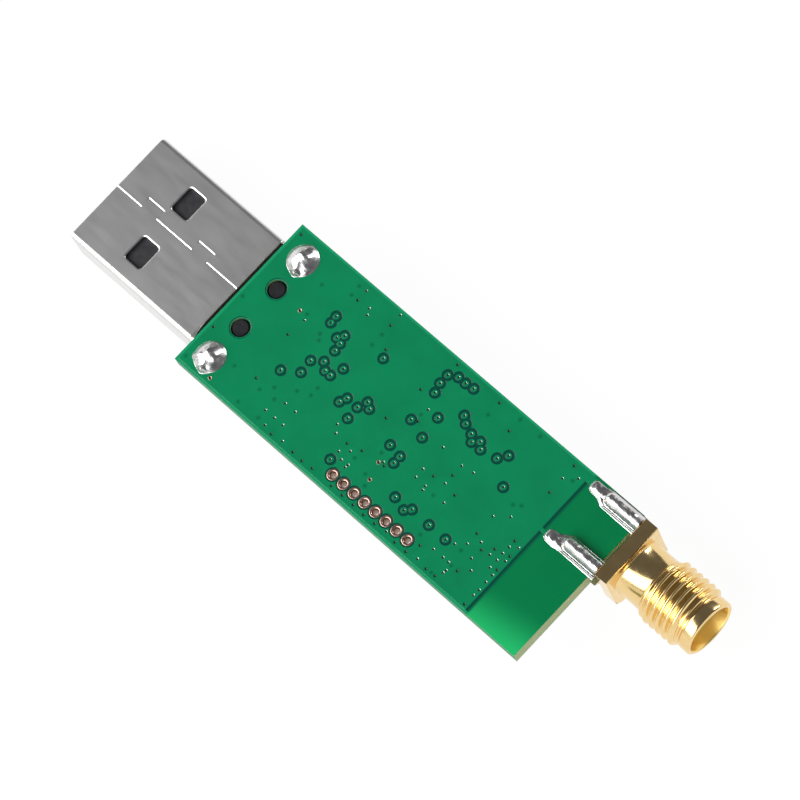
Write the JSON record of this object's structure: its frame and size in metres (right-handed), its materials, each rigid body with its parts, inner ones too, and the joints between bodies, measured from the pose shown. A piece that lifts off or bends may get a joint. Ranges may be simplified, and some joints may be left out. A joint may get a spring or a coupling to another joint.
{
  "type": "usb spectrum analyzer stick",
  "caption": "Bare circuit board with a USB-A plug at one end and a threaded gold coaxial jack at the other; two push buttons underneath.",
  "frame": {"origin": "middle of the footprint, at the height of the USB plug's lower face, which the stick lies on", "axes": "+X from the USB plug to the coaxial jack, +Z out of the board's solder side, +Y across the board towards the edge that the jack is nearer to"},
  "size_m": [0.0668, 0.016, 0.0071],
  "materials": {
    "solder_mask_green": "green solder mask over copper and glass-epoxy laminate, satin gloss",
    "shell_steel": "nickel-plated sheet steel, satin",
    "black_plastic": "moulded black thermoplastic, matt",
    "contact_gold": "gold-plated copper alloy",
    "jack_gold": "polished gold-plated brass",
    "solder": "bright tin solder, uneven",
    "fluoropolymer": "white fluoropolymer or white moulded plastic, smooth",
    "chip_epoxy": "black epoxy mould compound, fine matt grain",
    "ceramic": "fired ceramic body, matt",
    "ferrite": "dark grey ferrite, matt",
    "stamped_steel": "thin stamped stainless steel, bright",
    "led_lens": "clear cast epoxy, glossy",
    "button_plunger": "black moulded plastic, matt"
  },
  "bodies": {
    "stick": {"circuit_board": "solder_mask_green", "usb_shell": "shell_steel", "usb_insulator": "black_plastic", "header_body": "black_plastic", "button_housing_left": "black_plastic", "button_housing_right": "black_plastic", "usb_contact_power": "contact_gold", "usb_contact_data_minus": "contact_gold", "usb_contact_data_plus": "contact_gold", "usb_contact_ground": "contact_gold", "jack_contact": "contact_gold", "header_pin_1": "contact_gold", "header_pin_2": "contact_gold", "header_pin_3": "contact_gold", "header_pin_4": "contact_gold", "header_pin_5": "contact_gold", "header_pin_6": "contact_gold", "header_pin_7": "contact_gold", "header_pin_8": "contact_gold", "header_pin_9": "contact_gold", "header_pin_10": "contact_gold", "shell_solder_left": "solder", "shell_solder_right": "solder", "leg_solder_top_left": "solder", "leg_solder_top_right": "solder", "leg_solder_bottom_left": "solder", "leg_solder_bottom_right": "solder", "tail_solder": "solder", "jack_body": "jack_gold", "jack_insulator": "fluoropolymer", "led_base_left": "fluoropolymer", "led_base_right": "fluoropolymer", "button_cover_left": "stamped_steel", "button_cover_right": "stamped_steel", "button_dome_left": "stamped_steel", "button_dome_right": "stamped_steel", "crystal_lid": "stamped_steel", "led_lens_left": "led_lens", "led_lens_right": "led_lens", "crystal_base": "ceramic", "balun": "ceramic", "capacitor_1": "ceramic", "capacitor_2": "ceramic", "capacitor_3": "ceramic", "capacitor_4": "ceramic", "capacitor_5": "ceramic", "capacitor_6": "ceramic", "capacitor_7": "ceramic", "ferrite_bead": "ferrite", "inductor_1": "ferrite", "inductor_2": "ferrite", "radio_chip": "chip_epoxy", "voltage_regulator": "chip_epoxy", "resistor_1": "chip_epoxy", "resistor_2": "chip_epoxy", "resistor_3": "chip_epoxy", "resistor_4": "chip_epoxy"},
    "button_left": {"button_plunger_left": "button_plunger"},
    "button_right": {"button_plunger_right": "button_plunger"}
  },
  "joints": [
    {"name": "press_left", "type": "slide", "parent": "stick", "child": "button_left", "axis": [0, 0, 1], "range_m": [0, 0.00025], "stiffness_N_per_m": 6000, "deforming": ["button_dome_left"]},
    {"name": "press_right", "type": "slide", "parent": "stick", "child": "button_right", "axis": [0, 0, 1], "range_m": [0, 0.00025], "stiffness_N_per_m": 6000, "deforming": ["button_dome_right"]}
  ]
}
